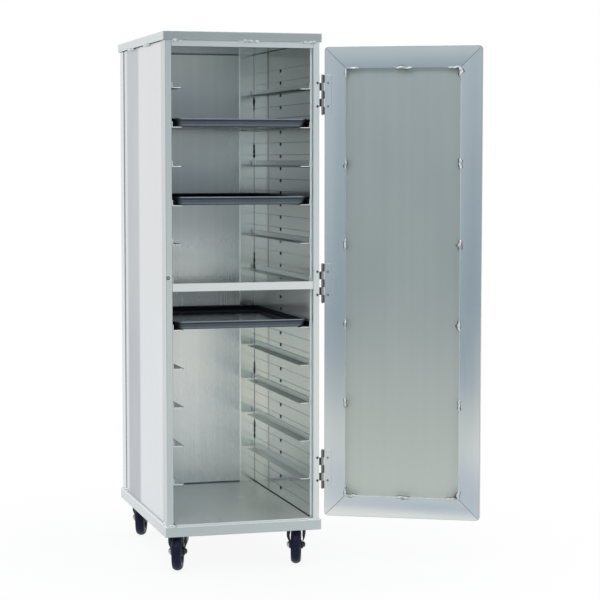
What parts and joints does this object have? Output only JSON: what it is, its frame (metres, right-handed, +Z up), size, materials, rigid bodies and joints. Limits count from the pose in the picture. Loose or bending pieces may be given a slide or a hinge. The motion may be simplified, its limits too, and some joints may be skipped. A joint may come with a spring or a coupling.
{
  "type": "enclosed sheet pan rack",
  "caption": "Tall enclosed aluminium sheet pan rack on swivel casters: framed hinged door, angle slides on slotted walls, and dark sheet pans that slide out.",
  "frame": {"origin": "on the ground under the middle of the cabinet", "axes": "+Z up, -Y towards the front, where the door is, +X to the hinge side of the door"},
  "size_m": [1.0138, 1.0275, 1.766],
  "materials": {
    "shell_aluminium": "satin mill finish",
    "lining_aluminium": "smooth mill finish, mirrors softly",
    "slide_aluminium": "extruded, satin",
    "door_frame_aluminium": "satin mill finish",
    "door_skin_aluminium": "satin mill finish",
    "pan_coating": "dark coated, satin",
    "hinge_steel": "satin",
    "rivet_aluminium": "plain",
    "pull_steel": "satin",
    "catch_ring": "matt",
    "catch_pole_steel": "plain",
    "caster_plate_steel": "zinc plated",
    "caster_fork_paint": "black, semi-gloss",
    "wheel_core_plastic": "matt",
    "tyre_rubber": "matt"
  },
  "bodies": {
    "cabinet": {"base_frame": "shell_aluminium", "post_front_right": "shell_aluminium", "post_front_left": "shell_aluminium", "post_rear_right": "shell_aluminium", "post_rear_left": "shell_aluminium", "side_panel_right": "shell_aluminium", "side_panel_left": "shell_aluminium", "top_cap": "shell_aluminium", "header_rail": "shell_aluminium", "mid_rail": "shell_aluminium", "wall_lining_right": "lining_aluminium", "wall_lining_left": "lining_aluminium", "back_panel": "lining_aluminium", "ceiling_panel": "lining_aluminium", "floor_deck": "lining_aluminium", "slide_pair_01": "slide_aluminium", "slide_pair_02": "slide_aluminium", "slide_pair_03": "slide_aluminium", "slide_pair_04": "slide_aluminium", "slide_pair_05": "slide_aluminium", "slide_pair_06": "slide_aluminium", "slide_pair_07": "slide_aluminium", "slide_pair_08": "slide_aluminium", "slide_pair_09": "slide_aluminium", "slide_pair_10": "slide_aluminium", "slide_pair_11": "slide_aluminium", "hinge_post_leaves": "hinge_steel", "hinge_pins": "hinge_steel", "hinge_post_rivets": "rivet_aluminium", "catch_button": "catch_ring", "catch_pole": "catch_pole_steel", "caster_top_plates": "caster_plate_steel", "caster_bolts": "caster_plate_steel"},
    "door": {"door_hinge_stile": "door_frame_aluminium", "door_latch_stile": "door_frame_aluminium", "door_top_rail": "door_frame_aluminium", "door_bottom_rail": "door_frame_aluminium", "door_skin": "door_skin_aluminium", "hinge_door_leaves": "hinge_steel", "hinge_door_rivets": "rivet_aluminium", "door_pull": "pull_steel"},
    "pan_1": {"sheet_pan_1": "pan_coating"},
    "pan_2": {"sheet_pan_2": "pan_coating"},
    "pan_3": {"sheet_pan_3": "pan_coating"},
    "fork_front_left": {"caster_fork_front_left": "caster_fork_paint", "caster_axle_front_left": "caster_plate_steel"},
    "wheel_front_left": {"wheel_core_front_left": "wheel_core_plastic", "tyre_front_left": "tyre_rubber"},
    "fork_front_right": {"caster_fork_front_right": "caster_fork_paint", "caster_axle_front_right": "caster_plate_steel"},
    "wheel_front_right": {"wheel_core_front_right": "wheel_core_plastic", "tyre_front_right": "tyre_rubber"},
    "fork_rear_left": {"caster_fork_rear_left": "caster_fork_paint", "caster_axle_rear_left": "caster_plate_steel"},
    "wheel_rear_left": {"wheel_core_rear_left": "wheel_core_plastic", "tyre_rear_left": "tyre_rubber"},
    "fork_rear_right": {"caster_fork_rear_right": "caster_fork_paint", "caster_axle_rear_right": "caster_plate_steel"},
    "wheel_rear_right": {"wheel_core_rear_right": "wheel_core_plastic", "tyre_rear_right": "tyre_rubber"}
  },
  "joints": [
    {"name": "door_hinge", "type": "hinge", "parent": "cabinet", "child": "door", "pos_m": [0.2695, -0.3918, 0.9455], "axis": [0, 0, 1], "range_deg": [-152.7, 45]},
    {"name": "pan_1_slide", "type": "slide", "parent": "cabinet", "child": "pan_1", "axis": [0, -1, 0], "range_m": [0, 0.4]},
    {"name": "pan_2_slide", "type": "slide", "parent": "cabinet", "child": "pan_2", "axis": [0, -1, 0], "range_m": [0, 0.4]},
    {"name": "pan_3_slide", "type": "slide", "parent": "cabinet", "child": "pan_3", "axis": [0, -1, 0], "range_m": [0, 0.4]},
    {"name": "swivel_front_left", "type": "hinge", "parent": "cabinet", "child": "fork_front_left", "pos_m": [-0.203, -0.3085, 0.132], "axis": [0, 0, 1], "continuous": true},
    {"name": "roll_front_left", "type": "hinge", "parent": "fork_front_left", "child": "wheel_front_left", "pos_m": [-0.21252, -0.33695, 0.0635], "axis": [0.9483, -0.3173, 0], "continuous": true},
    {"name": "swivel_front_right", "type": "hinge", "parent": "cabinet", "child": "fork_front_right", "pos_m": [0.203, -0.3085, 0.132], "axis": [0, 0, 1], "continuous": true},
    {"name": "roll_front_right", "type": "hinge", "parent": "fork_front_right", "child": "wheel_front_right", "pos_m": [0.19348, -0.33695, 0.0635], "axis": [0.9483, -0.3173, 0], "continuous": true},
    {"name": "swivel_rear_left", "type": "hinge", "parent": "cabinet", "child": "fork_rear_left", "pos_m": [-0.203, 0.3085, 0.132], "axis": [0, 0, 1], "continuous": true},
    {"name": "roll_rear_left", "type": "hinge", "parent": "fork_rear_left", "child": "wheel_rear_left", "pos_m": [-0.21252, 0.28005, 0.0635], "axis": [0.9483, -0.3173, 0], "continuous": true},
    {"name": "swivel_rear_right", "type": "hinge", "parent": "cabinet", "child": "fork_rear_right", "pos_m": [0.203, 0.3085, 0.132], "axis": [0, 0, 1], "continuous": true},
    {"name": "roll_rear_right", "type": "hinge", "parent": "fork_rear_right", "child": "wheel_rear_right", "pos_m": [0.19348, 0.28005, 0.0635], "axis": [0.9483, -0.3173, 0], "continuous": true}
  ]
}
